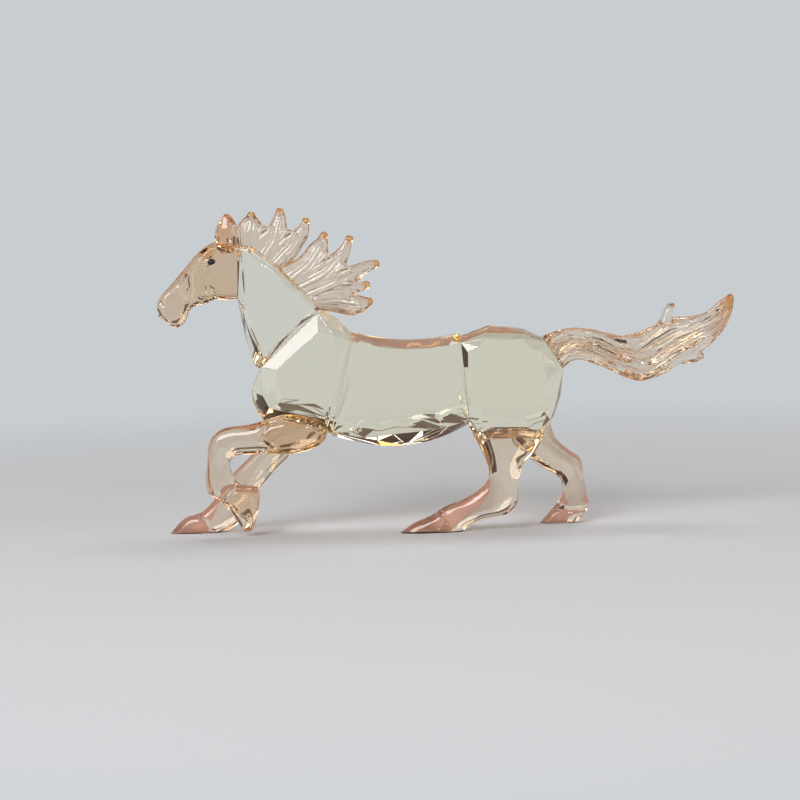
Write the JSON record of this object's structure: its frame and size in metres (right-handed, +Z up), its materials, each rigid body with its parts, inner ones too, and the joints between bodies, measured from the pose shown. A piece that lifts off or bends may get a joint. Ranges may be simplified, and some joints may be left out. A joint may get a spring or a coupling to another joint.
{
  "type": "crystal glass horse figurine",
  "caption": "Running horse figurine of faceted clear crystal blocks with moulded champagne glass head, mane, tail and legs glued on, standing on three hooves.",
  "frame": {"origin": "centre of the bounding box at its bottom, on the surface that the hooves stand on", "axes": "+Z up, the horse faces -X so +X runs from muzzle to tail tip, its left side is -Y"},
  "size_m": [0.165, 0.023, 0.0922],
  "materials": {
    "cut_crystal": "polished, faceted",
    "moulded_glass": "fire-polished, champagne tint",
    "clear_adhesive": "clear cured film",
    "eye_enamel": "glossy dark navy bead"
  },
  "bodies": {
    "root": {"head": "moulded_glass", "ear_left": "moulded_glass", "ear_right": "moulded_glass", "eye_left": "eye_enamel", "eye_right": "eye_enamel", "neck": "cut_crystal", "mane_front": "moulded_glass", "mane_rear": "moulded_glass", "shoulder": "cut_crystal", "barrel": "cut_crystal", "haunch": "cut_crystal", "tail": "moulded_glass", "foreleg_left": "moulded_glass", "foreleg_right": "moulded_glass", "hindleg_left": "moulded_glass", "hindleg_right": "moulded_glass", "bond_head": "clear_adhesive", "bond_ear_left": "clear_adhesive", "bond_ear_right": "clear_adhesive", "bond_mane_front": "clear_adhesive", "bond_mane_rear": "clear_adhesive", "bond_neck": "clear_adhesive", "bond_shoulder": "clear_adhesive", "bond_barrel": "clear_adhesive", "bond_tail": "clear_adhesive", "bond_foreleg_left": "clear_adhesive", "bond_foreleg_right": "clear_adhesive", "bond_hindleg_left": "clear_adhesive", "bond_hindleg_right": "clear_adhesive"}
  },
  "joints": []
}
